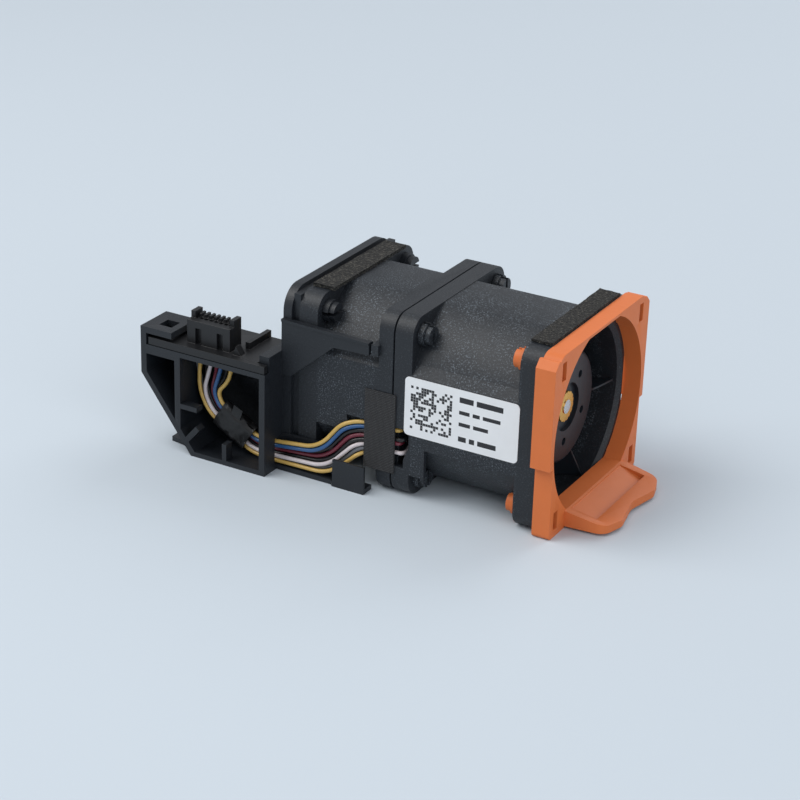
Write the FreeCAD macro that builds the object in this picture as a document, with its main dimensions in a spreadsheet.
import FreeCAD, Part
import math
import os
import Sketcher

# Server fan module: two counter-rotating 40 mm fans in series, an orange pull frame on the
# intake, and a black connector carrier that clips to the outlet and holds the leads.
# +X runs along the rotor axis to the intake, +Z is up, x = 0 is the joint between the fans.

SIZES = (
    # both fan frames
    ("fan_side", 40.0, "side of the square fan frames"),
    ("front_length", 33.4, "length of the intake fan"),
    ("rear_length", 22.6, "length of the outlet fan"),
    ("frame_corner", 4.0, "corner radius of the flanges"),
    ("pin_pitch", 32.0, "distance between corner pins"),
    ("pin_radius", 2.0, "corner pins"),
    ("pin_clearance", 0.1, "radial clearance of the corner pins"),
    ("pin_head", 0.45, "how far a pin's head stands over its shank"),
    ("pin_slit", 0.8, "slit in the snap pins"),
    ("intake_flange", 4.9, "flange under the pull frame"),
    ("front_joint_flange", 4.3, "front fan's flange at the joint"),
    ("rear_joint_flange", 3.5, "rear fan's flange at the joint"),
    ("outlet_flange", 4.4, "flange under the carrier plate"),
    ("duct_radius", 21.0, "outside of the duct before its flats"),
    ("bore_radius", 18.9, "inside of the duct"),
    ("pad_half", 8.0, "half height of the flat on each side"),
    ("pad_slope", 2.2, "height of the slope above the side flat"),
    ("duct_step", 0.15, "flanges over the front duct's top and bottom flats"),
    ("mouth_chamfer", 0.9, "bevel round the duct's outer mouth"),
    # motor bases
    ("base_radius", 11.6, "motor base"),
    ("base_gap", 0.4, "joint plane to the motor base"),
    ("base_plate", 1.2, "thickness of the base plate"),
    ("base_rim", 0.8, "wall round the circuit board"),
    ("base_height", 3.0, "whole height of the base"),
    ("strut_width", 1.5, "plain struts"),
    ("strut_count", 5.0, "struts of each fan"),
    ("lead_angle", 27.0, "lead strut below the horizontal"),
    ("lead_web", 0.6, "walls beside the lead channel"),
    # rotors
    ("hub_radius", 12.2, "outside of the hub"),
    ("hub_wall", 0.9, "wall of the hub cup"),
    ("hub_face", 1.4, "front wall of the hub cup"),
    ("hub_edge", 0.9, "rounded front edge of the hub"),
    ("hub_gap", 0.6, "motor base to the hub's rim"),
    ("front_hub_setback", 3.2, "intake face to the front hub"),
    ("rear_hub_setback", 2.6, "outlet face to the rear hub"),
    ("recess_radius", 5.2, "round recess in the hub's face"),
    ("recess_depth", 0.9, "depth of that recess"),
    ("balance_radius", 0.85, "balance holes"),
    ("balance_circle", 7.6, "circle of the balance holes"),
    ("balance_depth", 0.9, "depth of the balance holes"),
    ("balance_angle", 22.0, "balance holes from the blades"),
    ("rest_angle", 25.0, "turn of the impellers at rest"),
    ("tip_gap", 0.5, "blade tip to the duct"),
    ("blade_edge", 0.45, "blade thickness at its edges"),
    ("front_blades", 5.0, "blades of the front impeller"),
    ("rear_blades", 4.0, "blades of the rear impeller"),
    ("yoke_wall", 0.7, "steel yoke"),
    ("magnet_wall", 1.1, "magnet ring"),
    ("air_gap", 0.4, "magnet to stator"),
    # spindles
    ("shaft_radius", 1.5, "steel shaft"),
    ("bush_radius", 3.3, "brass bush in the hub"),
    ("bush_length", 4.6, "length of that bush"),
    ("knurls", 16.0, "notches in the bush's open end"),
    ("knurl_depth", 0.3, "depth of those notches"),
    ("race_inner", 2.15, "outside of the inner rings"),
    ("race_outer", 2.6, "inside of the outer rings"),
    ("bearing_radius", 3.5, "outside of the ball bearings"),
    ("bearing_width", 2.8, "width of a ball bearing"),
    ("tube_wall", 0.8, "brass bearing tube"),
    ("clip_width", 0.5, "retaining clip"),
    ("spring_height", 0.6, "disc spring between upper bearing and bush"),
    ("spring_sheet", 0.2, "thickness of that disc spring"),
    # stators
    ("pole_count", 6.0, "stator poles"),
    ("pole_width", 2.0, "stator arms"),
    ("shoe_depth", 0.9, "pole shoes"),
    ("slot_opening", 1.3, "gap between pole shoes"),
    ("core_ring", 1.2, "stator ring round the tube"),
    ("front_stack", 11.0, "front stator stack"),
    ("rear_stack", 5.6, "rear stator stack"),
    ("insulator", 0.6, "insulator on each end of the stack"),
    ("winding", 1.1, "thickness of a coil"),
    ("board_radius", 10.3, "circuit board"),
    ("board_thickness", 0.8, "circuit board"),
    ("stator_clearance", 0.9, "circuit board to the coils"),
    # pull frame
    ("pull_body", 41.6, "pull frame across, without its cheeks"),
    ("pull_width", 44.4, "pull frame across its cheeks"),
    ("pull_height", 40.0, "pull frame from the floor"),
    ("pull_depth", 3.9, "pull frame along the axis"),
    ("pull_opening", 20.7, "round opening"),
    ("pull_corner", 3.0, "radius of the two upper corners"),
    ("pull_foot", 1.0, "radius of the two lower corners"),
    ("pull_lintel", 0.6, "top bar over the round opening"),
    ("pull_sill", 4.0, "bottom bar over the floor"),
    ("skirt_length", 0.5, "cheeks over the flange"),
    ("skirt_bottom", 16.0, "lower end of the cheeks"),
    ("skirt_drop", 0.8, "frame's top over the cheeks"),
    ("skirt_bevel", 1.5, "bevel of the cheeks' upper ends"),
    ("skirt_clearance", 0.1, "cheek to the flange"),
    ("tab_reach", 10.3, "finger tab in front of the frame"),
    ("tab_half", 14.2, "half width of the finger tab"),
    ("tab_lift", 0.6, "underside of the tab over the floor"),
    ("tab_tip", 1.4, "thickness of the tab's tip"),
    ("tab_scallop", 1.6, "hollow between the two lobes"),
    ("tab_rim", 2.4, "rim round the tab's dished top"),
    ("tab_dish", 0.25, "depth of that dish"),
    ("window_width", 1.8, "moulding windows beside the pins"),
    ("window_height", 4.0, "moulding windows beside the pins"),
    ("window_inset", 2.6, "middle of the windows from the frame's side"),
    ("window_rise", 0.4, "middle of the windows beyond the pins"),
    ("lintel_share", 0.4, "half width of the flat over the opening, as a share"),
    ("sill_share", 0.76, "half width of the flat under the opening, as a share"),
    # carrier
    ("spacer", 1.6, "ring between outlet flange and plate"),
    ("plate", 2.0, "carrier plate"),
    ("plate_half", 20.5, "half width of the carrier plate"),
    ("plate_corner", 5.0, "corner radius of the plate"),
    ("outlet_radius", 19.0, "outlet opening in the plate"),
    ("arm_gap", 0.1, "side arm to the fan"),
    ("arm", 1.1, "thickness of the side arm"),
    ("arm_top", 34.0, "upper edge of the side arm"),
    ("arm_end", 5.2, "side arm's end before the joint"),
    ("arm_lip", 0.6, "raised lip along the side arm's upper edge"),
    ("arm_lip_depth", 0.25, "how far that lip stands proud"),
    ("arm_stop_gap", 0.35, "side arm's end to the stop on the fan"),
    ("arm_stop_drop", 0.9, "top of that stop under the arm's upper edge"),
    ("arm_stop_height", 2.4, "height of that stop"),
    ("arm_stop_proud", 0.9, "how far that stop stands proud"),
    ("bay_length", 31.3, "connector bay along the axis"),
    ("bay_front", 27.6, "axis to the open side of the bay"),
    ("bay_depth", 15.0, "depth of the bay"),
    ("bay_height", 23.4, "top of the bay's shelf"),
    ("bay_wall", 1.4, "walls of the bay"),
    ("bay_shelf", 1.1, "top shelf"),
    ("bay_bend", 16.7, "height where the slanted wall starts"),
    ("bay_toe", 12.6, "slanted wall's reach along the axis"),
    ("rib_place", 8.6, "upright rib from the bay's end"),
    ("floor", 1.1, "floor of the bay and trough"),
    ("cap_height", 27.4, "top of the end cap"),
    ("cap_length", 7.9, "end cap"),
    ("cap_depth", 9.5, "end cap"),
    ("cap_plate", 1.4, "end cap's top plate"),
    ("trough_front", 22.9, "axis to the trough's open edge"),
    ("trough_wall", 0.6, "walls of the trough"),
    ("trough_high", 7.8, "inner wall of the trough"),
    ("trough_inner_end", 15.8, "inner wall's end before the joint"),
    ("trough_end", 4.4, "trough's end before the joint"),
    ("keeper_length", 7.6, "keeper wall in front of the leads"),
    ("keeper_high", 6.2, "keeper wall's height"),
    ("exit_high", 7.2, "lead exit in the bay's wall"),
    # connector
    ("flange_gap", 0.1, "shelf to the connector's flange"),
    ("flange", 1.7, "connector's flange"),
    ("circuit_count", 8.0, "contacts"),
    ("circuit_pitch", 1.25, "contacts"),
    ("cavity", 0.85, "contact cavities"),
    ("socket_width", 10.8, "connector housing"),
    ("socket_depth", 4.4, "connector housing"),
    ("socket_high", 30.4, "top of the connector housing"),
    ("socket_front", 25.2, "axis to the connector's face"),
    ("socket_place", 47.2, "joint to the connector's end"),
    ("comb", 0.8, "teeth over the housing"),
    ("cheek", 1.5, "end cheeks over the housing"),
    # leads and soft trim
    ("lead_diameter", 0.95, "leads"),
    ("lead_pitch", 1.05, "leads side by side"),
    ("stack_centre", 11.2, "height of the row of leads at the joint"),
    ("lead_inset", 0.6, "leads behind the frame's side"),
    ("recess_half", 4.4, "half height of the lead recess"),
    ("front_recess", 4.3, "lead recess in the front fan"),
    ("rear_recess", 10.8, "lead recess in the rear fan"),
    ("recess_cut", 1.15, "depth of the lead recess"),
    ("lead_centre", 1.9, "leads' plane from the joint"),
    ("sway_out", 0.55, "every second lead's turn in beyond that plane"),
    ("sway_back", 0.25, "the other leads' turn in short of that plane"),
    ("turn_reach", 3.4, "leads' last turn outside the motor base"),
    ("end_inset", 3.1, "leads' ends inside the board's rim"),
    ("sleeve_wall", 0.4, "black sleeve"),
    ("tape", 0.35, "cloth tape"),
    ("label", 0.12, "label"),
    ("front_foam", 0.7, "front foam strip"),
    ("rear_foam", 0.9, "rear foam strip"),
    ("foam_overhang", 1.0, "rear foam strip beyond the outlet flange"),
)

doc = FreeCAD.newDocument("server_fan_module")
sheet = doc.addObject("Spreadsheet::Sheet", "Sizes")
for row, (alias, number, purpose) in enumerate(SIZES, 1):
    sheet.set("A%d" % row, alias)
    sheet.set("B%d" % row, str(number))
    sheet.set("C%d" % row, purpose)
    sheet.setAlias("B%d" % row, alias)
doc.recompute()


class Size:
    """A length that carries both its spreadsheet expression and its number."""

    def __init__(self, text, number):
        self.text = text
        self.number = number

    def __add__(self, other):
        other = lift(other)
        return Size("(%s + %s)" % (self.text, other.text), self.number + other.number)

    def __sub__(self, other):
        other = lift(other)
        return Size("(%s - %s)" % (self.text, other.text), self.number - other.number)

    def __mul__(self, other):
        other = lift(other)
        return Size("(%s * %s)" % (self.text, other.text), self.number * other.number)

    def __truediv__(self, other):
        other = lift(other)
        return Size("(%s / %s)" % (self.text, other.text), self.number / other.number)

    def __radd__(self, other):
        return lift(other) + self

    def __rsub__(self, other):
        return lift(other) - self

    def __rmul__(self, other):
        return lift(other) * self

    def __neg__(self):
        return Size("(0 - %s)" % self.text, -self.number)


def lift(value):
    """Turn a bare number into a Size."""
    if isinstance(value, Size):
        return value
    return Size("%.6f" % value, float(value))


class Table:
    """The spreadsheet's aliases as attributes."""

    def __init__(self):
        for alias, number, purpose in SIZES:
            setattr(self, alias, Size("Sizes.%s" % alias, float(sheet.get(alias))))


s = Table()
half = s.fan_side / 2
axis_up = half
parts = []


# ---------------------------------------------------------------- drawing helpers

def bind(item, path, value):
    """Tie one property to the spreadsheet."""
    item.setExpression(path, lift(value).text)


def new_body(label, height=0, turned=False, rest=0):
    """A body whose origin lies on the rotor axis when height is axis_up."""
    body = doc.addObject("PartDesign::Body", label)
    body.Label = label
    about = FreeCAD.Rotation(FreeCAD.Vector(0, 0, 1), 180 if turned else 0)
    along = FreeCAD.Rotation(FreeCAD.Vector(1, 0, 0), lift(rest).number)
    body.Placement = FreeCAD.Placement(
        FreeCAD.Vector(0, 0, lift(height).number), about * along)
    bind(body, "Placement.Base.z", height)
    parts.append(body)
    return body


def origin_feature(body, role):
    """One of the body's own origin planes or axes."""
    for feature in body.Origin.OriginFeatures:
        if feature.Role == role:
            return feature
    raise ValueError(role)


def draw(body, name, plane, offset, loops, turn=0):
    """A sketch on an origin plane, moved along its normal and turned about it."""
    sketch = body.newObject("Sketcher::SketchObject", name)
    sketch.AttachmentSupport = (origin_feature(body, plane + "_Plane"), [""])
    sketch.MapMode = "FlatFace"
    turned = FreeCAD.Rotation(FreeCAD.Vector(0, 0, 1), lift(turn).number)
    start = FreeCAD.Vector(0, 0, lift(offset).number)
    sketch.AttachmentOffset = FreeCAD.Placement(start, turned)
    bind(sketch, "AttachmentOffset.Base.z", offset)
    bind(sketch, "AttachmentOffset.Rotation.Angle", turn)
    for loop in loops:
        loop(sketch)
    return sketch


def fix(sketch, element, end, across, up):
    """Hold one end of an element at a pair of coordinates."""
    for kind, value in (("DistanceX", across), ("DistanceY", up)):
        value = lift(value)
        index = sketch.addConstraint(
            Sketcher.Constraint(kind, -1, 1, element, end, value.number))
        bind(sketch, "Constraints[%d]" % index, value)


def circle(across, up, radius):
    """A full circle."""
    across, up, radius = lift(across), lift(up), lift(radius)

    def add(sketch):
        centre = FreeCAD.Vector(across.number, up.number, 0)
        normal = FreeCAD.Vector(0, 0, 1)
        element = sketch.addGeometry(Part.Circle(centre, normal, radius.number))
        fix(sketch, element, 3, across, up)
        index = sketch.addConstraint(Sketcher.Constraint("Radius", element, radius.number))
        bind(sketch, "Constraints[%d]" % index, radius)
    return add


def arc_between(start, end, radius):
    """An arc of a signed radius from start to end; positive bulges to the right."""
    chord = end - start
    middle = (start + end) * 0.5
    side = FreeCAD.Vector(-chord.y, chord.x, 0).normalize()
    reach = math.sqrt(radius * radius - chord.Length * chord.Length / 4)
    away = 1 if radius > 0 else -1
    centre = middle + side * (reach * away)
    first, last = (start, end) if radius > 0 else (end, start)
    angles = [math.atan2(p.y - centre.y, p.x - centre.x) for p in (first, last)]
    round_one = Part.Circle(centre, FreeCAD.Vector(0, 0, 1), abs(radius))
    return Part.ArcOfCircle(round_one, angles[0], angles[1])


def outline(points, arcs=None):
    """A closed outline; arcs maps the index of a stretch to its signed radius."""
    arcs = arcs or {}
    points = [(lift(across), lift(up)) for across, up in points]

    def add(sketch):
        spots = [FreeCAD.Vector(across.number, up.number, 0) for across, up in points]
        ends = []
        for index, start in enumerate(spots):
            end = spots[(index + 1) % len(spots)]
            if index in arcs:
                radius = lift(arcs[index])
                element = sketch.addGeometry(arc_between(start, end, radius.number))
                ends.append((element, 1, 2) if radius.number > 0 else (element, 2, 1))
                place = sketch.addConstraint(
                    Sketcher.Constraint("Radius", element, abs(radius.number)))
                bind(sketch, "Constraints[%d]" % place,
                     radius if radius.number > 0 else -radius)
            else:
                element = sketch.addGeometry(Part.LineSegment(start, end))
                ends.append((element, 1, 2))
        for index, (element, first, last) in enumerate(ends):
            following, start, unused = ends[(index + 1) % len(ends)]
            sketch.addConstraint(
                Sketcher.Constraint("Coincident", element, last, following, start))
            fix(sketch, element, first, *points[index])
    return add


def box(left, right, low, high):
    """A rectangle."""
    return outline([(left, low), (right, low), (right, high), (left, high)])


def square(across):
    """A square centred on the axis."""
    across = lift(across)
    return box(-across / 2, across / 2, -across / 2, across / 2)


def feature(body, kind, name, sketch=None):
    """Add a feature and make it the tip."""
    item = body.newObject("PartDesign::" + kind, name)
    if sketch is not None:
        item.Profile = sketch
    return item


def settle(body, item):
    """Recompute one feature; without refining if that spoils it; stop if it failed."""
    body.Tip = item
    doc.recompute()
    if item.Shape.isNull() or not item.Shape.isValid():
        item.Refine = False
        doc.recompute()
    if "Invalid" in item.State or "Error" in item.State or not item.Shape.isValid():
        raise RuntimeError("%s.%s failed: %s" % (body.Label, item.Name, item.State))
    return item


def slab(body, name, plane, loops, low, high, turn=0):
    """Pad outlines between two coordinates along the plane's axis."""
    low, high = lift(low), lift(high)
    offset = -high if plane == "XZ" else low
    sketch = draw(body, name + "Outline", plane, offset, loops, turn)
    pad = feature(body, "Pad", name, sketch)
    bind(pad, "Length", high - low)
    return settle(body, pad)


def cut(body, name, plane, loops, low, high, turn=0):
    """Pocket outlines between two coordinates along the plane's axis."""
    low, high = lift(low), lift(high)
    offset = -low if plane == "XZ" else high
    before = body.Tip
    sketch = draw(body, name + "Outline", plane, offset, loops, turn)
    body.Tip = before
    pocket = feature(body, "Pocket", name, sketch)
    bind(pocket, "Length", high - low)
    volume = before.Shape.Volume
    settle(body, pocket)
    if pocket.Shape.Volume > volume - 1e-6:
        raise RuntimeError("%s.%s cuts nothing" % (body.Label, name))
    return pocket


def turned(body, name, loops):
    """Revolve outlines about the rotor axis; each point is (along, radius)."""
    sketch = draw(body, name + "Outline", "XY", 0, loops)
    spin = feature(body, "Revolution", name, sketch)
    spin.ReferenceAxis = (sketch, ["H_Axis"])
    spin.Angle = 360
    return settle(body, spin)


def groove(body, name, loops):
    """Cut a revolved outline out of a body."""
    volume = body.Tip.Shape.Volume
    sketch = draw(body, name + "Outline", "XY", 0, loops)
    ring = feature(body, "Groove", name, sketch)
    ring.ReferenceAxis = (sketch, ["H_Axis"])
    ring.Angle = 360
    settle(body, ring)
    if ring.Shape.Volume > volume - 1e-6:
        raise RuntimeError("%s.%s cuts nothing" % (body.Label, name))
    return ring


def repeat(body, name, originals, count):
    """Repeat features round the rotor axis."""
    pattern = feature(body, "PolarPattern", name)
    pattern.Originals = originals
    pattern.Axis = (origin_feature(body, "X_Axis"), [""])
    pattern.Angle = 360
    pattern.Occurrences = int(round(lift(count).number))
    bind(pattern, "Occurrences", count)
    return settle(body, pattern)


def edges_where(shape, test):
    """Names of the edges whose middle and ends pass a test."""
    names = []
    for index, edge in enumerate(shape.Edges, 1):
        if test(edge):
            names.append("Edge%d" % index)
    return names


def dress(body, name, kind, amount, test):
    """Fillet or chamfer the edges that pass a test."""
    base = body.Tip
    names = edges_where(base.Shape, test)
    if not names:
        raise RuntimeError("%s.%s finds no edge" % (body.Label, name))
    item = feature(body, kind, name)
    item.Base = (base, names)
    bind(item, "Radius" if kind == "Fillet" else "Size", amount)
    return settle(body, item)


def runs_along(edge, axis, spots, low=None, high=None):
    """True for a straight edge along one axis through one of the given cross places."""
    if edge.Curve.TypeId != "Part::GeomLine":
        return False
    box_ = edge.BoundBox
    lows = (box_.XMin, box_.YMin, box_.ZMin)
    highs = (box_.XMax, box_.YMax, box_.ZMax)
    others = [i for i in range(3) if i != axis]
    if any(highs[i] - lows[i] > 1e-4 for i in others):
        return False
    if low is not None and lows[axis] < low - 1e-3:
        return False
    if high is not None and highs[axis] > high + 1e-3:
        return False
    place = [lows[i] for i in others]
    return any(abs(place[0] - a) < 1e-3 and abs(place[1] - b) < 1e-3 for a, b in spots)


def corners(across):
    """The four corners of a centred square, as numbers."""
    reach = lift(across).number / 2
    return [(a * reach, b * reach) for a in (-1, 1) for b in (-1, 1)]


# ---------------------------------------------------------------- snap pins

def pin_spots():
    """Centres of the four corner pins about the axis."""
    reach = s.pin_pitch / 2
    return [(reach * a, reach * b) for a in (-1, 1) for b in (-1, 1)]


def pin_circles(radius, rise=0):
    """Four circles at the corner pins."""
    return [circle(across, up + rise, radius) for across, up in pin_spots()]


def pin_holes(body, name, low, high):
    """Corner holes that the snap pins pass through."""
    cut(body, name, "YZ", pin_circles(s.pin_radius + s.pin_clearance), low, high)


def snap_pins(body, root, flange, towards, rise=0, level=False):
    """Four slit pins from root through a flange, with heads that catch behind it.

    towards is +1 or -1 along the axis; beyond the flange the pins are flat on the
    side that faces the duct. The slits are upright, or level.
    """
    def span(start, end):
        return (start, end) if towards > 0 else (end, start)

    behind = root + towards * flange
    catch = behind + towards * s.pin_clearance
    tip = behind + towards * 2.6
    slab(body, "PinShanks", "YZ", pin_circles(s.pin_radius, rise), *span(root - towards * 0.5, tip))
    slab(body, "PinHeads", "YZ", pin_circles(s.pin_radius + s.pin_head, rise),
         *span(catch, catch + towards * 1.3))
    cut(body, "PinFlats", "YZ", [circle(0, rise, s.duct_radius + 0.15)], *span(behind, tip))
    wide, high = (3, s.pin_slit / 2) if level else (s.pin_slit / 2, 3)
    slits = [box(across - wide, across + wide, up + rise - high, up + rise + high)
             for across, up in pin_spots()]
    cut(body, "PinSlits", "YZ", slits, *span(behind - towards * 1.5, tip))


# ---------------------------------------------------------------- fan frames

def fan_frame(label, length, joint_flange, outer_flange, is_rear):
    """One fan frame: flanges, duct, motor base, struts and the lead channel."""
    body = new_body(label, axis_up, is_rear)
    lead_side = 1 if is_rear else -1
    slab(body, "Duct", "YZ", [circle(0, 0, s.duct_radius)], 0, length)
    flats = s.fan_side if is_rear else s.fan_side - s.duct_step * 2
    cut(body, "DuctFlats", "YZ", [square(s.fan_side * 1.5), square(flats)], 0, length)
    slope = s.pad_half + s.pad_slope
    inner = half - 4
    for side in (-1, 1):
        slab(body, "SidePad%d" % (side + 1), "YZ", [outline([
            (side * inner, -s.pad_half), (side * half, -s.pad_half),
            (side * half, s.pad_half), (side * (half - 1.6), slope),
            (side * inner, slope)])], 0, length)
    slab(body, "JointFlange", "YZ", [square(s.fan_side)], 0, joint_flange)
    slab(body, "OuterFlange", "YZ", [square(s.fan_side)], length - outer_flange, length)
    dress(body, "FlangeCorners", "Fillet", s.frame_corner,
          lambda edge: runs_along(edge, 0, corners(s.fan_side)))
    cut(body, "Bore", "YZ", [circle(0, 0, s.bore_radius)], 0, length)
    mouth = s.bore_radius.number
    dress(body, "Mouth", "Chamfer", s.mouth_chamfer,
          lambda edge: edge.Curve.TypeId == "Part::GeomCircle"
          and abs(edge.Curve.Radius - mouth) < 1e-3
          and abs(edge.BoundBox.XMin - length.number) < 1e-3)
    motor_base(body, lead_side)
    lead_recess(body, lead_side, s.rear_recess if is_rear else s.front_recess)
    pin_holes(body, "OuterHoles", length - outer_flange, length)
    if is_rear:
        snap_pins(body, lift(0), s.front_joint_flange, -1)
        arm_stop(body)
    else:
        pin_holes(body, "JointHoles", 0, joint_flange)
        lead_hook(body)
    return body


def motor_base(body, lead_side):
    """Base plate, rim, tube boss and struts."""
    low = s.base_gap
    high = s.base_gap + s.base_height
    tube = s.bearing_radius + s.tube_wall
    slab(body, "BasePlate", "YZ", [circle(0, 0, s.base_radius), circle(0, 0, tube)],
         low, low + s.base_plate)
    slab(body, "BaseRim", "YZ",
         [circle(0, 0, s.base_radius), circle(0, 0, s.base_radius - s.base_rim)],
         low + s.base_plate / 2, high)
    turn = 180 + s.lead_angle if lead_side < 0 else -s.lead_angle
    width = s.strut_width / 2
    strut = slab(body, "Strut", "YZ",
                 [box(s.base_radius - 0.5, s.bore_radius + 0.4, -width, width)],
                 low, high, turn)
    repeat(body, "Struts", [strut], s.strut_count)
    root = s.lead_pitch * 2 + 0.1 + s.lead_web
    wall = s.recess_half + s.lead_web - 0.2
    slab(body, "LeadStrut", "YZ", [outline([
        (s.base_radius - 0.5, -root), (s.bore_radius + 0.3, -wall),
        (s.bore_radius + 0.3, wall), (s.base_radius - 0.5, root)])], low, high, turn)
    near = s.lead_pitch * 2 + 0.1
    far = s.recess_half - 0.6
    start = s.board_radius - 4.3
    cut(body, "LeadChannel", "YZ", [outline([
        (start, -near), (s.base_radius, -near), (s.bore_radius + 0.3, -far),
        (s.bore_radius + 0.3, far), (s.base_radius, near), (start, near)])],
        low + 0.7, high, turn)


def lead_recess(body, lead_side, reach):
    """The recess and the window that let the leads through the frame's side."""
    centre = s.stack_centre - axis_up
    low = centre - s.recess_half
    high = centre + s.recess_half

    def rectangle(depth):
        return box(*sorted((lead_side * (half + 1), lead_side * (half - depth)),
                           key=lambda size: size.number), low, high)

    cut(body, "LeadRecess", "YZ", [rectangle(s.recess_cut)], 0, reach)
    cut(body, "LeadWindow", "YZ", [rectangle(half - s.bore_radius + 4.5)],
        s.base_gap + 0.7, s.base_gap + s.base_height)


def arm_stop(body):
    """A small stop on the rear fan's side that the carrier's arm ends at."""
    top = s.arm_top - axis_up - s.arm_stop_drop
    slab(body, "ArmStop", "XZ", [box(s.rear_joint_flange - 0.3, s.arm_end - s.arm_stop_gap,
                                     top - s.arm_stop_height, top)],
         half - 2.2, half + s.arm_stop_proud)


def lead_hook(body):
    """A slanted lug behind the recess that keeps the leads in."""
    top = s.stack_centre - axis_up + 1.7
    low = top - 7.4
    left = s.front_joint_flange - 1.0
    right = s.front_joint_flange + 3.5
    slab(body, "LeadHook", "XZ", [outline([
        (left - 0.4, low), (right, low), (right, top), (left + 1.2, top),
        (left - 0.4, top - 4.2)])], -half, -half + 1.0)


# ---------------------------------------------------------------- impellers

def blade_section(body, name, radius, lead, trail, camber):
    """One crescent blade section on a plane square to its own radius."""
    edge = s.blade_edge
    points = [lead, (lead[0], lead[1] + edge), (trail[0], trail[1] + edge), trail]
    arcs = {1: -camber * 1.25, 3: camber}
    if camber.number < 0:
        arcs = {1: -camber, 3: camber * 1.25}
    return draw(body, name, "XY", radius, [outline(points, arcs)])


def impeller(label, length, setback, blades, is_rear):
    """Hub cup and blades; the blades are lofted and trimmed to the duct."""
    body = new_body(label, axis_up, is_rear, s.rest_angle)
    face = length - setback
    rim = s.base_gap + s.base_height + s.hub_gap
    edge = s.hub_edge
    turned(body, "Hub", [outline([
        (rim, 0), (face, 0), (face, s.hub_radius - edge), (face - edge, s.hub_radius),
        (rim, s.hub_radius)], {2: edge})])
    tip = s.bore_radius - s.tip_gap
    twist = -1 if is_rear else 1
    sections = []
    stations = ((s.hub_radius * 0.72, 1.0, 0.5), (s.hub_radius * 1.25, 0.3, 0.86),
                (tip + 0.8, 0.0, 1.08))
    for index, (radius, setoff, swing) in enumerate(stations):
        front = length - 0.8 - setoff * (setback - 0.2)
        back = rim + 0.9
        sweep = (front - back) * 0.36 * swing
        lead = (front, sweep * -twist)
        trail = (back, sweep * twist)
        camber = (front - back) * 1.35 * twist
        sections.append(blade_section(body, "BladeSection%d" % index, radius, lead, trail, camber))
    loft = feature(body, "AdditiveLoft", "Blade", sections[0])
    loft.Sections = sections[1:]
    settle(body, loft)
    repeat(body, "Blades", [loft], blades)
    cut(body, "TipTrim", "YZ", [circle(0, 0, tip + 8), circle(0, 0, tip)], 0, length + 2)
    inside = s.hub_radius - s.hub_wall
    boss = s.bush_radius + 1.3
    floor = face - s.recess_depth - s.hub_face
    groove(body, "Cup", [outline([
        (rim - 1, 0), (face - s.recess_depth - s.bush_length, 0),
        (face - s.recess_depth - s.bush_length, boss), (floor, boss),
        (floor, inside), (rim - 1, inside)])])
    groove(body, "BushSeat", [box(face - s.recess_depth - s.bush_length - 1, face + 1, 0,
                                  s.bush_radius)])
    groove(body, "FaceRecess", [box(face - s.recess_depth, face + 1, 0, s.recess_radius)])
    hole = cut(body, "BalanceHole", "YZ", [circle(s.balance_circle, 0, s.balance_radius)],
               face - s.balance_depth, face + 0.5, s.balance_angle)
    repeat(body, "BalanceHoles", [hole], blades)
    return body


# ---------------------------------------------------------------- motor pieces

def ring(label, height, is_rear, inner, outer, low, high):
    """A plain ring on the rotor axis."""
    body = new_body(label, height, is_rear)
    turned(body, "Ring", [box(low, high, inner, outer)])
    return body


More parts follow.
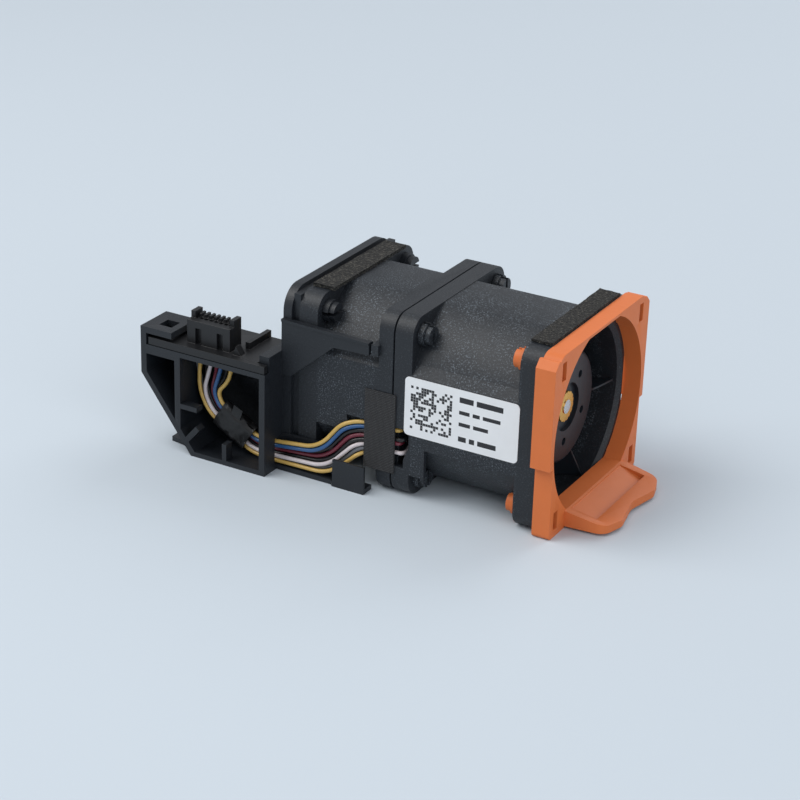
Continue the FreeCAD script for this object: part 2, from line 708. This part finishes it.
def motor(prefix, length, setback, stack, is_rear):
    """Everything inside one hub, from the bearing tube to the magnet."""
    face = length - setback
    low = s.base_gap + s.base_height + s.hub_gap
    floor = face - s.recess_depth - s.hub_face
    inside = s.hub_radius - s.hub_wall
    yoke_in = inside - s.yoke_wall
    magnet_in = yoke_in - s.magnet_wall
    board_low = s.base_gap + s.base_plate + 0.9
    board_high = board_low + s.board_thickness
    stack_low = board_high + s.stator_clearance + s.insulator + s.winding
    stack_high = stack_low + stack
    tube_out = s.bearing_radius + s.tube_wall
    bush_low = face - s.recess_depth - s.bush_length
    tube_low = s.base_gap
    tube_high = bush_low - s.spring_height

    yoke = new_body(prefix + "_rotor_yoke", axis_up, is_rear)
    turned(yoke, "Cup", [outline([
        (low + 0.3, yoke_in), (floor - s.yoke_wall, yoke_in),
        (floor - s.yoke_wall, s.bush_radius + 1.5), (floor, s.bush_radius + 1.5),
        (floor, inside), (low + 0.3, inside)])])
    ring(prefix + "_magnet_ring", axis_up, is_rear, magnet_in, yoke_in,
         stack_low - 0.8, stack_high + 0.8)

    bush = new_body(prefix + "_shaft_bush", axis_up, is_rear)
    turned(bush, "Bush", [box(bush_low, face - 0.3, s.shaft_radius, s.bush_radius)])
    notch = s.knurl_depth
    knurl = cut(bush, "Knurl", "YZ", [outline([
        (s.bush_radius - notch, 0), (s.bush_radius + notch, -notch * 2),
        (s.bush_radius + notch, notch * 2)])], face - s.recess_depth, face)
    repeat(bush, "Knurls", [knurl], s.knurls)

    shaft_low = tube_low + 0.4
    ring(prefix + "_shaft", axis_up, is_rear, 0, s.shaft_radius, shaft_low, face - 0.1)
    tube = new_body(prefix + "_bearing_tube", axis_up, is_rear)
    lower = tube_low + 1.6
    upper = tube_high - s.bearing_width
    turned(tube, "Tube", [box(tube_low, tube_high, s.bearing_radius, tube_out)])
    turned(tube, "Step", [box(lower + s.bearing_width, upper, s.bearing_radius - 0.5,
                              s.bearing_radius + 0.1)])
    bearings(prefix, is_rear, (lower, upper))

    clip = new_body(prefix + "_retaining_clip", axis_up, is_rear)
    turned(clip, "Clip", [box(lower - s.clip_width, lower, s.shaft_radius + 0.02,
                              s.race_inner + 0.1)])
    cut(clip, "Gap", "YZ", [box(0, 4, -0.6, 0.6)], lower - s.clip_width, lower)
    spring = new_body(prefix + "_preload_spring", axis_up, is_rear)
    turned(spring, "DiscSpring", [outline([
        (tube_high, s.shaft_radius + 0.1), (tube_high + s.spring_sheet, s.shaft_radius + 0.1),
        (bush_low, s.race_inner), (bush_low - s.spring_sheet, s.race_inner)])])
    stator(prefix, is_rear, stack_low, stack_high, tube_out, magnet_in - s.air_gap)
    board = new_body(prefix + "_circuit_board", axis_up, is_rear)
    slab(board, "Board", "YZ", [circle(0, 0, s.board_radius), circle(0, 0, tube_out + 0.1)],
         board_low, board_high)


def bearings(prefix, is_rear, places):
    """Two shielded ball bearings, as outer rings with their shields and inner rings."""
    outer = new_body(prefix + "_bearing_outer_rings", axis_up, is_rear)
    inner = new_body(prefix + "_bearing_inner_rings", axis_up, is_rear)
    for index, low in enumerate(places):
        high = low + s.bearing_width
        turned(outer, "Outer%d" % index, [box(low, high, s.race_outer, s.bearing_radius)])
        turned(inner, "Inner%d" % index, [box(low, high, s.shaft_radius, s.race_inner)])


def shape_part(label, shape, height=0.0, is_rear=False):
    """A sub-part whose shape is set directly."""
    item = doc.addObject("Part::Feature", label)
    item.Label = label
    item.Shape = shape
    item.Placement = FreeCAD.Placement(
        FreeCAD.Vector(0, 0, height),
        FreeCAD.Rotation(FreeCAD.Vector(0, 0, 1), 180 if is_rear else 0))
    parts.append(item)
    return item


def stator(prefix, is_rear, low, high, inner, outer):
    """Laminated core, insulators on its ends, and one coil on each arm."""
    ring_out = inner + s.core_ring

    def star(body, start, end, tag, shoe_in):
        slab(body, "Ring" + tag, "YZ", [circle(0, 0, ring_out), circle(0, 0, inner)], start, end)
        arm = slab(body, "Arm" + tag, "YZ",
                   [box(ring_out - 0.4, outer - shoe_in / 2, -s.pole_width / 2, s.pole_width / 2)],
                   start, end)
        repeat(body, "Arms" + tag, [arm], s.pole_count)
        slab(body, "Shoes" + tag, "YZ", [circle(0, 0, outer), circle(0, 0, outer - shoe_in)],
             start, end)
        turn = lift(180) / s.pole_count
        slot = cut(body, "Slot" + tag, "YZ",
                   [box(outer - shoe_in - 0.5, outer + 0.5, -s.slot_opening / 2,
                        s.slot_opening / 2)], start, end, turn)
        repeat(body, "Slots" + tag, [slot], s.pole_count)

    core = new_body(prefix + "_stator_core", axis_up, is_rear)
    star(core, low, high, "", s.shoe_depth)
    for tag, start, end in (("lower", low - s.insulator, low), ("upper", high, high + s.insulator)):
        cap = new_body(prefix + "_%s_insulator" % tag, axis_up, is_rear)
        star(cap, start, end, "", s.shoe_depth)
    coils = new_body(prefix + "_coils", axis_up, is_rear)
    middle = (low + high) / 2
    reach = (high - low) / 2 + s.insulator + 0.05
    arm = s.pole_width / 2 + 0.05
    span = s.winding
    coil = slab(coils, "Coil", "XY", [
        box(middle - reach - span, middle + reach + span, -arm - span, arm + span),
        box(middle - reach, middle + reach, -arm, arm)],
        ring_out + 0.3, outer - s.shoe_depth - 0.4)
    dress(coils, "CoilEdge", "Fillet", span * 0.6,
          lambda edge: edge.Length > 0.5 and runs_up(edge, span))
    repeat(coils, "Coils", [coil, coils.Tip], s.pole_count)


def runs_up(edge, span):
    """True for the outer upright edges of a coil."""
    if edge.Curve.TypeId != "Part::GeomLine":
        return False
    box_ = edge.BoundBox
    if box_.XMax - box_.XMin > 1e-4 or box_.YMax - box_.YMin > 1e-4:
        return False
    return abs(box_.YMin) > s.pole_width.number / 2 + 0.05 + span.number - 1e-3


# ---------------------------------------------------------------- pull frame

def pull_frame():
    """Orange frame with its opening, finger tab, cheeks and snap pins."""
    body = new_body("pull_frame")
    back = s.front_length
    front = back + s.pull_depth
    side = s.pull_body / 2
    top = s.pull_height
    slab(body, "Frame", "YZ", [box(-side, side, 0, top)], back, front)
    upper = [(a * side.number, top.number) for a in (-1, 1)]
    lower = [(a * side.number, 0) for a in (-1, 1)]
    dress(body, "Corners", "Fillet", s.pull_corner, lambda edge: runs_along(edge, 0, upper))
    dress(body, "Feet", "Fillet", s.pull_foot, lambda edge: runs_along(edge, 0, lower))
    cheeks(body, back - s.skirt_length, front)
    cut(body, "Opening", "YZ", [circle(0, axis_up, s.pull_opening)], back, front)
    slab(body, "Lintel", "YZ", [
        box(-side * s.lintel_share, side * s.lintel_share, top - s.pull_lintel, top)],
        back, front)
    slab(body, "Sill", "YZ", [
        box(-side * s.sill_share, side * s.sill_share, s.tab_lift, s.pull_sill)],
        back, front)
    windows = []
    for a in (-1, 1):
        for b in (-1, 1):
            across = a * (side - s.window_inset)
            up = axis_up + b * (s.pin_pitch / 2 + s.window_rise)
            windows.append(box(across - s.window_width / 2, across + s.window_width / 2,
                               up - s.window_height / 2, up + s.window_height / 2))
    cut(body, "Windows", "YZ", windows, back, front)
    finger_tab(body, front)
    snap_pins(body, back, s.intake_flange, -1, axis_up)


def cheeks(body, back, front):
    """Grips proud of the frame's two sides, lapped over the flange, bevelled on top."""
    near = half + s.skirt_clearance
    far = s.pull_width / 2
    low = s.skirt_bottom
    high = s.pull_height - s.skirt_drop
    bevel = s.skirt_bevel
    for hand in (-1, 1):
        slab(body, "Cheek%d" % (hand + 1), "YZ", [outline([
            (hand * near, low), (hand * far, low), (hand * far, high - bevel),
            (hand * (far - bevel), high), (hand * near, high)])], back, front)


def finger_tab(body, front):
    """Two-lobed tab that slopes down towards its tip, with a dished top."""
    tip = front + s.tab_reach
    wide = s.tab_half
    slab(body, "Tab", "XY", [outline([
        (front - 1, -wide), (tip - 1.5, -wide + 0.8), (tip, -wide * 0.55),
        (tip - s.tab_scallop, 0), (tip, wide * 0.55), (tip - 1.5, wide - 0.8),
        (front - 1, wide)])], s.tab_lift, s.pull_sill)
    reach = tip.number - 1.5
    spots = [(reach, -wide.number + 0.8), (reach, wide.number - 0.8),
             (tip.number, -wide.number * 0.55), (tip.number, wide.number * 0.55)]
    dress(body, "TabLobes", "Fillet", lift(3.0), lambda edge: runs_along(edge, 2, spots))
    hollow = [(tip.number - s.tab_scallop.number, 0)]
    dress(body, "TabHollow", "Fillet", lift(6.0), lambda edge: runs_along(edge, 2, hollow))

    def slope(start, end, sink):
        low = s.tab_lift + s.tab_tip - sink
        return outline([(start, s.pull_sill - sink), (end, low),
                        (end, s.pull_sill + 1), (start, s.pull_sill + 1)])

    cut(body, "TabSlope", "XZ", [slope(front, tip + 1, 0)], -wide - 1, wide + 1)
    rim = s.tab_rim
    cut(body, "TabDish", "XZ", [slope(front + 0.6, tip - s.tab_scallop - rim, s.tab_dish)],
        -wide + rim, wide - rim)


# ---------------------------------------------------------------- carrier

def carrier():
    """Outlet plate with snap pins, side arm, lead trough and connector bay."""
    body = new_body("connector_carrier")
    flange = -s.rear_length
    ring_back = flange - s.spacer
    back = ring_back - s.plate
    top = axis_up + s.plate_half
    slab(body, "Plate", "YZ", [box(-s.plate_half, s.plate_half, 0, top)], back, ring_back)
    spots = [(a * s.plate_half.number, z) for a in (-1, 1) for z in (0, top.number)]
    dress(body, "PlateCorners", "Fillet", s.plate_corner, lambda edge: runs_along(edge, 0, spots))
    slab(body, "SpacerRing", "YZ", [box(-half + 0.5, half - 0.5, 0.5, s.fan_side - 0.5)],
         ring_back, flange)
    cut(body, "Outlet", "YZ", [circle(0, axis_up, s.outlet_radius)], back, flange)
    snap_pins(body, flange, s.outlet_flange, 1, axis_up, True)
    side_arm(body, back)
    bay(body, back)
    trough(body, back)
    return body


def side_arm(body, back):
    """Flat arm that lies along the rear fan and stiffens the plate."""
    inner = -half - s.arm_gap
    end = -s.arm_end
    slab(body, "Arm", "XZ", [outline([
        (back, s.arm_top), (end, s.arm_top - 0.6), (end, s.arm_top - 3.3),
        (end - 8.4, s.arm_top - 3.6), (back + 2.4, s.arm_top - 12.4),
        (back, s.arm_top - 12.8)])], inner - s.arm, inner)
    lip = s.arm_lip
    slab(body, "ArmLip", "XZ", [outline([
        (back, s.arm_top - lip), (end, s.arm_top - 0.6 - lip), (end, s.arm_top - 0.6),
        (back, s.arm_top)])], inner - s.arm - s.arm_lip_depth, inner - s.arm + 0.2)
    slab(body, "ArmHook", "XZ", [box(end - 1.0, end, s.arm_top - 3.3, s.arm_top - 0.7)],
         inner - 0.2, inner + 0.6)


def slant_up(across, back):
    """Height of the bay's slanted wall at a place along the axis."""
    start = back - s.bay_length
    return s.bay_bend - (across - start) * (s.bay_bend / s.bay_toe)


def bay(body, back):
    """Open-sided connector bay: a moulded box with two cells and a slanted end."""
    far_end = back - s.bay_length
    front = -s.bay_front
    rear = front + s.bay_depth
    slab(body, "BayBlock", "XZ", [outline([
        (far_end, s.bay_bend), (far_end + s.bay_toe, 0), (back, 0), (back, s.bay_height),
        (far_end, s.bay_height)])], front, rear)
    wall = s.bay_wall
    rib = far_end + s.rib_place
    slack = wall * 1.6
    ceiling = s.bay_height - s.bay_shelf
    left = far_end + wall
    cut(body, "EndCell", "XZ", [outline([
        (left, slant_up(left, back) + slack), (rib, slant_up(rib, back) + slack),
        (rib, ceiling - 1), (left, ceiling - 1)])], front, rear - wall)
    inner = rib + wall
    right = back - wall
    toe = far_end + s.bay_toe + wall * 1.3 - s.floor * s.bay_toe / s.bay_bend
    cut(body, "MainCell", "XZ", [outline([
        (inner, slant_up(inner, back) + slack), (toe, s.floor), (right, s.floor),
        (right, ceiling), (inner, ceiling)])], front, rear - wall)
    bay_fingers(body, inner, toe)
    bay_top(body, back, far_end, front, rear)
    cut(body, "LeadExit", "YZ", [box(-s.trough_front - 0.6, -half - 0.7, s.floor, s.exit_high)],
        right - 0.5, back + 0.5)
    slab(body, "Foot", "XY", [outline([
        (far_end + 5.0, front + 4.0), (far_end + s.bay_toe + 0.5, front + 2.6),
        (far_end + s.bay_toe + 0.5, front + 11), (far_end + 6.0, front + 11),
        (far_end + 5.0, front + 9.6)])], 0, s.floor)


def bay_fingers(body, inner, toe):
    """Three short fingers at the open side that keep the leads in the bay."""
    front = -s.bay_front
    back = front + 2.2
    slab(body, "UpperFinger", "XZ", [box(inner - 0.5, inner + 4.2, 10.5, 11.6)], front, back)
    slab(body, "SlantFinger", "XZ", [outline([
        (toe - 2.0, 2.6), (toe + 1.2, 6.4), (toe + 0.3, 7.2), (toe - 2.9, 3.4)])], front, back)
    place = toe + 7.0
    slab(body, "FloorFinger", "XZ", [box(place, place + 1.1, 0.5, 4.9)], front, back)


def bay_top(body, back, far_end, front, rear):
    """Lead opening in the shelf, end cap with its square hole, and the right keeper."""
    shelf = s.bay_height
    left = -s.socket_place
    cut(body, "ShelfOpening", "XY", [box(left + 0.4, left + s.socket_width - 0.4,
                                         front + 3.2, front + 8.6)],
        shelf - s.bay_shelf - 0.5, shelf)
    cap_right = far_end + s.cap_length
    cap_rear = front + s.cap_depth
    slab(body, "CapWall", "XY", [box(far_end, far_end + s.bay_wall, front, cap_rear)],
         s.bay_height - 1, s.cap_height)
    slab(body, "CapBack", "XY", [box(far_end, cap_right, cap_rear - s.bay_wall, cap_rear)],
         s.bay_height - 1, s.cap_height)
    slab(body, "CapTop", "XY", [box(far_end, cap_right, front, cap_rear),
                                box(far_end + 3.0, far_end + 6.2, front + 2.6, front + 5.8)],
         s.cap_height - s.cap_plate, s.cap_height)
    slab(body, "Keeper", "XY", [box(back - 2.4, back, front + 1.7, rear)],
         s.bay_height - 0.5, s.cap_height - 0.6)


def trough(body, back):
    """Floor and walls that hold the leads along the rear fan."""
    inner = -half - s.arm_gap
    end = -s.trough_end
    outer = -s.trough_front
    keeper = end - s.keeper_length
    slab(body, "TroughFloor", "XY", [outline([
        (back - 0.5, outer), (keeper - 0.6, outer), (keeper, outer - s.trough_wall),
        (end, outer - s.trough_wall), (end, inner), (back - 0.5, inner)])], 0, s.floor)
    slab(body, "TroughInner", "XZ", [box(back - 0.5, -s.trough_inner_end, 0, s.trough_high)],
         inner - s.trough_wall, inner)
    slab(body, "TroughKeeper", "XZ", [box(keeper, end, 0, s.keeper_high)],
         outer - s.trough_wall, outer)


# ---------------------------------------------------------------- connector

def connector():
    """Connector housing on its flange, with contact cavities, comb and cheeks."""
    body = new_body("connector_housing")
    back = -(s.rear_length + s.spacer + s.plate)
    far_end = back - s.bay_length
    front = -s.bay_front
    rear = front + s.bay_depth
    low = s.bay_height + s.flange_gap
    high = low + s.flange
    left = -s.socket_place
    right = left + s.socket_width
    face = -s.socket_front
    behind = face + s.socket_depth
    slab(body, "Flange", "XY", [outline([
        (far_end + 1.9, front + 0.1), (back - 0.2, front + 0.1), (back - 0.2, front + 1.4),
        (back - 2.7, front + 1.4), (back - 2.7, rear - 0.4), (far_end + 8.4, rear - 0.4),
        (far_end + 8.4, front + 7.8), (far_end + 1.9, front + 7.8)])], low, high)
    slab(body, "Socket", "XY", [box(left, right, face, behind)], low, s.socket_high)
    row = (face + behind) / 2
    first = left + s.socket_width / 2 - s.circuit_pitch * (s.circuit_count - 1) / 2
    count = int(round(s.circuit_count.number))
    cavities = []
    teeth = []
    for index in range(count):
        place = first + s.circuit_pitch * index
        reach = s.cavity / 2
        cavities.append(box(place - reach, place + reach, row - reach, row + reach))
        if index:
            edge = place - s.circuit_pitch / 2
            teeth.append(box(edge - 0.3, edge + 0.3, row + reach, behind))
    cut(body, "Cavities", "XY", cavities, high, s.socket_high)
    slab(body, "Comb", "XY", teeth, s.socket_high - 0.3, s.socket_high + s.comb)
    slab(body, "Cheeks", "XY", [box(left, left + 1.1, row - 0.6, behind),
                                box(right - 1.1, right, row - 0.6, behind)],
         s.socket_high - 0.3, s.socket_high + s.cheek)
    slots = [box(place, place + 1.5, face - 0.5, face + 0.9)
             for place in (left + 2.1, right - 3.3)]
    cut(body, "FaceSlots", "XY", slots, high, s.socket_high - 1.6)
    slab(body, "Ramp", "XZ", [outline([
        (right + 0.9, high - 0.3), (right + 3.2, high - 0.3), (right + 1.7, high + 2.0)])],
        front + 2.0, front + 3.9)
    slab(body, "LatchBar", "XY", [box(right + 1.4, right + 2.5, front + 6.2, rear - 0.4)],
         high - 0.3, high + 1.5)
    contacts = new_body("connector_contacts")
    pins = []
    reach = s.cavity / 2 - 0.08
    for index in range(count):
        place = first + s.circuit_pitch * index
        pins.append(box(place - reach, place + reach, row - reach, row + reach))
    slab(contacts, "Contacts", "XY", pins, high, high + 3.4)
    return first, row, low


# ---------------------------------------------------------------- leads

# Each lead: name, its rank across the connector, its layer (0 near the fan), its place in
# the layered bundle and its place in the single row at the joint, counted from the top.
LEADS = (
    ("lead_yellow_upper", 0, 1, 2.0, 0, "front"),
    ("lead_black_upper", 1, 0, 0.95, 2, "front"),
    ("lead_blue", 2, 1, 1.05, 1, "rear"),
    ("lead_maroon", 3, 0, 0.0, 3, "front"),
    ("lead_white", 4, 1, -1.05, 5, "front"),
    ("lead_black_lower", 5, 0, -0.95, 4, "rear"),
    ("lead_yellow_lower", 6, 1, -2.0, 7, "rear"),
    ("lead_grey", 7, 0, -1.9, 6, "rear"),
)


def offset_normals(line):
    """Mitred normals of a line of (along, up) points, upwards for a run along +X."""
    ways = []
    for index in range(len(line) - 1):
        run = FreeCAD.Vector(line[index + 1][0] - line[index][0],
                             line[index + 1][1] - line[index][1], 0).normalize()
        ways.append(FreeCAD.Vector(-run.y, run.x, 0))
    normals = [ways[0]]
    for index in range(1, len(ways)):
        mitre = (ways[index - 1] + ways[index]).normalize()
        normals.append(mitre * (1 / mitre.dot(ways[index])))
    normals.append(ways[-1])
    return normals


def lead_points(rank, layer, place, row_place, fan, connector_place):
    """The route of one lead from the connector to its motor's circuit board."""
    first, row, start = (size.number for size in connector_place)
    count = int(s.circuit_count.number)
    fan_half = half.number
    pitch = s.lead_pitch.number
    rim = s.lead_diameter.number
    spread = (count - 1) / 2 - rank
    centre = first + (count - 1) / 2 * s.circuit_pitch.number
    trough_y = -fan_half - s.arm_gap.number - s.trough_wall.number - rim / 2 - 0.1
    deep = trough_y if layer == 0 else trough_y - pitch
    low = s.floor.number + rim / 2 + 0.15 + 2.0 * pitch
    inside = -(fan_half - s.lead_inset.number)
    up = s.stack_centre.number
    line = ((centre, start), (centre, start - 2.2), (centre - 1.2, start - 5.4),
            (centre - 1.9, start - 9.8), (centre - 0.2, start - 13.4),
            (centre + 9.6, low + 0.4), (centre + 12.6, low), (-14.8, low + 0.9),
            (-9.6, up - 0.7), (-7.3, up), (0.0, up))
    bundle = place * pitch
    stack = (3.5 - row_place) * (pitch - 0.05)
    across = (spread * s.circuit_pitch.number, spread * s.circuit_pitch.number,
              spread * s.circuit_pitch.number, bundle * 1.1, bundle, bundle, bundle,
              (bundle + stack) / 2, stack, stack, stack)
    depth = (row, row, deep, deep, deep, deep, deep, deep, (deep + inside) / 2, inside, inside)
    normals = offset_normals(line)
    points = []
    for (along, height), normal, aside, side in zip(line, normals, across, depth):
        points.append(FreeCAD.Vector(along + normal.x * aside, side, height + normal.y * aside))
    points.pop()
    sign = 1 if fan == "front" else -1
    members = sorted(item[4] for item in LEADS if item[5] == fan)
    order = 1.5 - members.index(row_place)
    sway = s.sway_out.number if members.index(row_place) % 2 else -s.sway_back.number
    turn_x = sign * (s.lead_centre.number + sway)
    points.append(FreeCAD.Vector(turn_x, inside, up + stack))
    points.append(FreeCAD.Vector(turn_x, inside + 2.2, up + stack))
    angle = math.radians(s.lead_angle.number)
    for reach in ((s.base_radius + s.turn_reach).number, (s.board_radius - s.end_inset).number):
        points.append(FreeCAD.Vector(
            sign * s.lead_centre.number,
            -reach * math.cos(angle) - order * pitch * math.sin(angle),
            axis_up.number - reach * math.sin(angle) + order * pitch * math.cos(angle)))
    return points


def rounded_path(points):
    """Straight runs joined by tangent arcs, each as large as its two runs allow."""
    edges = []
    here = points[0]
    radii = []
    for index in range(1, len(points) - 1):
        corner = points[index]
        back = (points[index - 1] - corner)
        on = (points[index + 1] - corner)
        turn = math.pi - back.getAngle(on)
        if turn < 0.02:
            continue
        tangent = 0.45 * min(back.Length, on.Length)
        radius = tangent / math.tan(turn / 2)
        radii.append(radius)
        start = corner + back.normalize() * tangent
        end = corner + on.normalize() * tangent
        bisector = (back + on).normalize()
        middle = corner + bisector * (radius / math.cos(turn / 2) - radius)
        edges.append(Part.LineSegment(here, start).toShape())
        edges.append(Part.Arc(start, middle, end).toShape())
        here = end
    edges.append(Part.LineSegment(here, points[-1]).toShape())
    return Part.Wire(edges), radii


def lead_section(centre, way, radius):
    """An eight-sided section inside the lead's circle, and its area."""
    side = FreeCAD.Vector(0, 1, 0)
    other = way.cross(side).normalize()
    spots = []
    for index in range(9):
        angle = math.pi * (2 * index + 1) / 8
        across = side * (radius * math.cos(angle))
        spots.append(centre + across + other * (radius * math.sin(angle)))
    return Part.makePolygon(spots), 4 * radius * radius * math.sin(math.pi / 4)


def leads(connector_place):
    """The eight leads, each whole from the connector to its circuit board."""
    radius = s.lead_diameter.number / 2
    for name, rank, layer, place, row_place, fan in LEADS:
        points = lead_points(rank, layer, place, row_place, fan, connector_place)
        path, radii = rounded_path(points)
        section, area = lead_section(points[0], points[1] - points[0], radius)
        solid = path.makePipeShell([section], True, False)
        expected = area * path.Length
        print("%s: length %.1f, volume ratio %.4f, least radius %.2f"
              % (name, path.Length, solid.Volume / expected, min(radii)))
        shape_part(name, solid)


# ---------------------------------------------------------------- soft trim

def lead_sleeve(connector_place):
    """The black sleeve round the slanted stretch of the bundle."""
    first, row, start = connector_place
    centre = (first + (s.circuit_count - 1) / 2 * s.circuit_pitch).number
    low = s.floor.number + s.lead_diameter.number / 2 + 0.15 + 2.0 * s.lead_pitch.number
    head = FreeCAD.Vector(centre - 0.2, 0, start.number - 13.4)
    tail = FreeCAD.Vector(centre + 9.6, 0, low + 0.4)
    way = (tail - head).normalize()
    up = FreeCAD.Vector(-way.z, 0, way.x)
    pitch = s.lead_pitch.number
    rim = s.lead_diameter.number / 2
    deep = -half.number - s.arm_gap.number - s.trough_wall.number - rim - 0.1
    middle_y = deep - pitch / 2
    start_at = head + way * 1.3
    end_at = tail - way * 1.3
    length = way * (end_at - start_at).Length
    start_at.y = middle_y
    across = 2.0 * pitch + rim + 0.4
    aside = 0.5 * pitch + rim + 0.2

    def capsule(grow):
        wide = across + grow
        thick = aside + grow
        side = FreeCAD.Vector(0, 1, 0)
        flat = wide - thick
        a = start_at + up * flat + side * thick
        b = start_at - up * flat + side * thick
        c = start_at - up * flat - side * thick
        d = start_at + up * flat - side * thick
        lower = start_at - up * wide
        upper = start_at + up * wide
        edges = [Part.LineSegment(a, b).toShape(), Part.Arc(b, lower, c).toShape(),
                 Part.LineSegment(c, d).toShape(), Part.Arc(d, upper, a).toShape()]
        return Part.Face(Part.Wire(edges))

    outer = capsule(s.sleeve_wall.number).extrude(length)
    inner = capsule(0.0).extrude(length)
    shape_part("lead_sleeve", outer.cut(inner))


def soft_trim():
    """Label, cloth tape and the two foam strips."""
    label = new_body("label_plate")
    low = 14.8
    slab(label, "Label", "XZ", [box(2.9, 29.0, low, low + 13)], -half - s.label, -half)
    spots = [(x, z) for x in (2.9, 29.0) for z in (low, low + 13)]
    dress(label, "LabelCorners", "Fillet", lift(1.0), lambda edge: runs_along(edge, 1, spots))
    tape = new_body("cloth_tape")
    slab(tape, "Tape", "XZ", [box(-6.4, 0.9, 5.0, 22.8)], -half - s.tape, -half)
    front = new_body("front_foam_strip")
    slab(front, "Foam", "XY", [box(s.front_length - s.intake_flange, s.front_length - 0.05,
                                   -half * 0.8, half * 0.8)],
         s.fan_side, s.fan_side + s.front_foam)
    rear = new_body("rear_foam_strip")
    slab(rear, "Foam", "XY", [box(-s.rear_length + 0.1,
                                  -s.rear_length + s.outlet_flange + s.foam_overhang,
                                  -half * 0.75, half * 0.75)],
         s.fan_side, s.fan_side + s.rear_foam)


# ---------------------------------------------------------------- the module

fan_frame("front_fan_frame", s.front_length, s.front_joint_flange, s.intake_flange, False)
fan_frame("rear_fan_frame", s.rear_length, s.rear_joint_flange, s.outlet_flange, True)
impeller("front_impeller", s.front_length, s.front_hub_setback, s.front_blades, False)
impeller("rear_impeller", s.rear_length, s.rear_hub_setback, s.rear_blades, True)
motor("front", s.front_length, s.front_hub_setback, s.front_stack, False)
motor("rear", s.rear_length, s.rear_hub_setback, s.rear_stack, True)
pull_frame()
carrier()
place = connector()
leads(place)
lead_sleeve(place)
soft_trim()
doc.recompute()

for item in doc.Objects:
    if "Invalid" in item.State or "Error" in item.State:
        raise RuntimeError("%s is in state %s" % (item.Name, item.State))

os.makedirs("parts", exist_ok=True)
for item in parts:
    shape = item.Shape
    if shape.isNull() or not shape.isValid():
        raise RuntimeError("%s has no valid shape" % item.Label)
    shape.exportStep(os.path.join("parts", item.Label + ".step"))
print("%d sub-parts" % len(parts))
